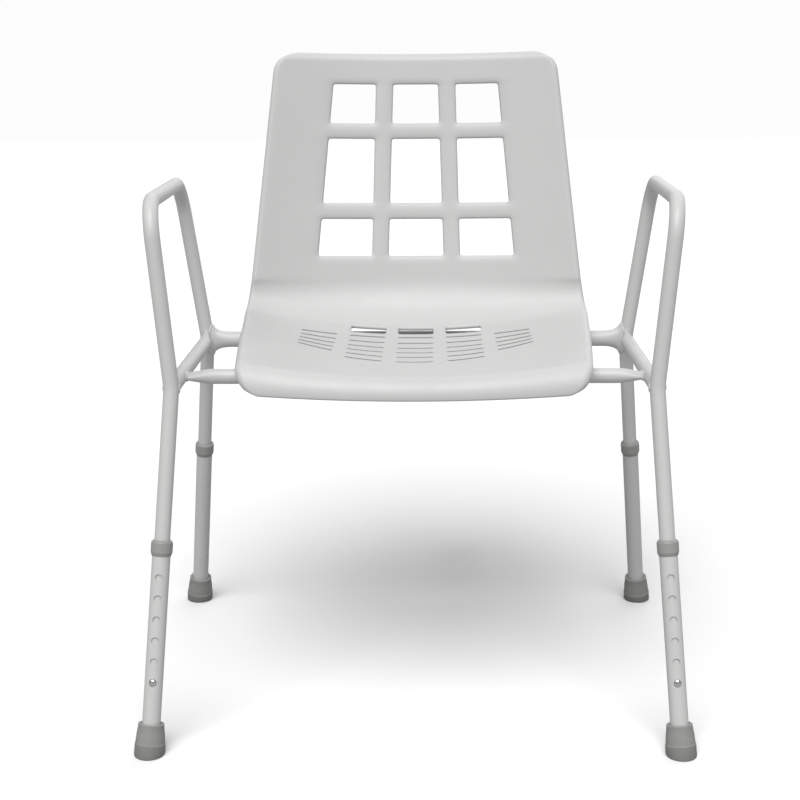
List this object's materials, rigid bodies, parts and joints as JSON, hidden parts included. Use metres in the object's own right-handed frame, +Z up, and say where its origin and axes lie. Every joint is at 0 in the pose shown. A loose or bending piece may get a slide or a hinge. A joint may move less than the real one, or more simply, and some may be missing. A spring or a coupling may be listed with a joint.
{
  "type": "shower chair",
  "caption": "Free-standing shower chair with armrests: one-piece moulded seat and back on a tube frame, with height-adjustable legs on rubber feet.",
  "frame": {"origin": "centre of the bounding box in plan, on the floor", "axes": "+Z up, -Y the way the sitter faces, +X to the right seen from the front"},
  "size_m": [0.6934, 0.5747, 0.8048],
  "materials": {
    "frame_paint": "satin white powder coat",
    "shell_plastic": "fine-grained white moulded plastic",
    "collar_plastic": "satin grey moulded plastic",
    "foot_rubber": "matt grey rubber",
    "plug_plastic": "dull black plastic",
    "button_chrome": "bright plated steel",
    "fixing_steel": "plain stainless steel"
  },
  "bodies": {
    "frame": {"side_tube_left": "frame_paint", "side_tube_right": "frame_paint", "side_rail_left": "frame_paint", "side_rail_right": "frame_paint", "front_cross_rail": "frame_paint", "rear_cross_rail": "frame_paint", "seat_shell": "shell_plastic", "front_seat_saddles": "collar_plastic", "rear_seat_saddles": "collar_plastic", "seat_screws": "fixing_steel", "seat_washers": "fixing_steel", "inner_end_plug_front_left": "plug_plastic", "button_spring_front_left": "fixing_steel", "inner_end_plug_front_right": "plug_plastic", "button_spring_front_right": "fixing_steel", "inner_end_plug_rear_left": "plug_plastic", "button_spring_rear_left": "fixing_steel", "inner_end_plug_rear_right": "plug_plastic", "button_spring_rear_right": "fixing_steel"},
    "leg_front_left": {"lower_leg_front_left": "frame_paint", "collar_front_left": "collar_plastic", "foot_front_left": "foot_rubber", "foot_washer_front_left": "fixing_steel"},
    "button_front_left": {"snap_button_front_left": "button_chrome"},
    "leg_front_right": {"lower_leg_front_right": "frame_paint", "collar_front_right": "collar_plastic", "foot_front_right": "foot_rubber", "foot_washer_front_right": "fixing_steel"},
    "button_front_right": {"snap_button_front_right": "button_chrome"},
    "leg_rear_left": {"lower_leg_rear_left": "frame_paint", "collar_rear_left": "collar_plastic", "foot_rear_left": "foot_rubber", "foot_washer_rear_left": "fixing_steel"},
    "button_rear_left": {"snap_button_rear_left": "button_chrome"},
    "leg_rear_right": {"lower_leg_rear_right": "frame_paint", "collar_rear_right": "collar_plastic", "foot_rear_right": "foot_rubber", "foot_washer_rear_right": "fixing_steel"},
    "button_rear_right": {"snap_button_rear_right": "button_chrome"}
  },
  "joints": [
    {"name": "front_left_leg_height", "type": "slide", "parent": "frame", "child": "leg_front_left", "axis": [-0.0677, -0.2143, -0.9744], "range_m": [0, 0.127], "deforming": ["snap_button_front_left", "button_spring_front_left"]},
    {"name": "front_left_snap_button", "type": "slide", "parent": "frame", "child": "button_front_left", "axis": [-0.0148, 0.9768, -0.2138], "range_m": [0, 0.0032], "stiffness_N_per_m": 800, "springref_m": -0.002, "deforming": ["button_spring_front_left"]},
    {"name": "front_right_leg_height", "type": "slide", "parent": "frame", "child": "leg_front_right", "axis": [0.0677, -0.2143, -0.9744], "range_m": [0, 0.127], "deforming": ["snap_button_front_right", "button_spring_front_right"]},
    {"name": "front_right_snap_button", "type": "slide", "parent": "frame", "child": "button_front_right", "axis": [0.0148, 0.9768, -0.2138], "range_m": [0, 0.0032], "stiffness_N_per_m": 800, "springref_m": -0.002, "deforming": ["button_spring_front_right"]},
    {"name": "rear_left_leg_height", "type": "slide", "parent": "frame", "child": "leg_rear_left", "axis": [-0.0832, 0.1569, -0.9841], "range_m": [0, 0.127], "deforming": ["snap_button_rear_left", "button_spring_rear_left"]},
    {"name": "rear_left_snap_button", "type": "slide", "parent": "frame", "child": "button_rear_left", "axis": [-0.0132, -0.9876, -0.1563], "range_m": [0, 0.0032], "stiffness_N_per_m": 800, "springref_m": -0.002, "deforming": ["button_spring_rear_left"]},
    {"name": "rear_right_leg_height", "type": "slide", "parent": "frame", "child": "leg_rear_right", "axis": [0.0832, 0.1569, -0.9841], "range_m": [0, 0.127], "deforming": ["snap_button_rear_right", "button_spring_rear_right"]},
    {"name": "rear_right_snap_button", "type": "slide", "parent": "frame", "child": "button_rear_right", "axis": [0.0132, -0.9876, -0.1563], "range_m": [0, 0.0032], "stiffness_N_per_m": 800, "springref_m": -0.002, "deforming": ["button_spring_rear_right"]}
  ]
}
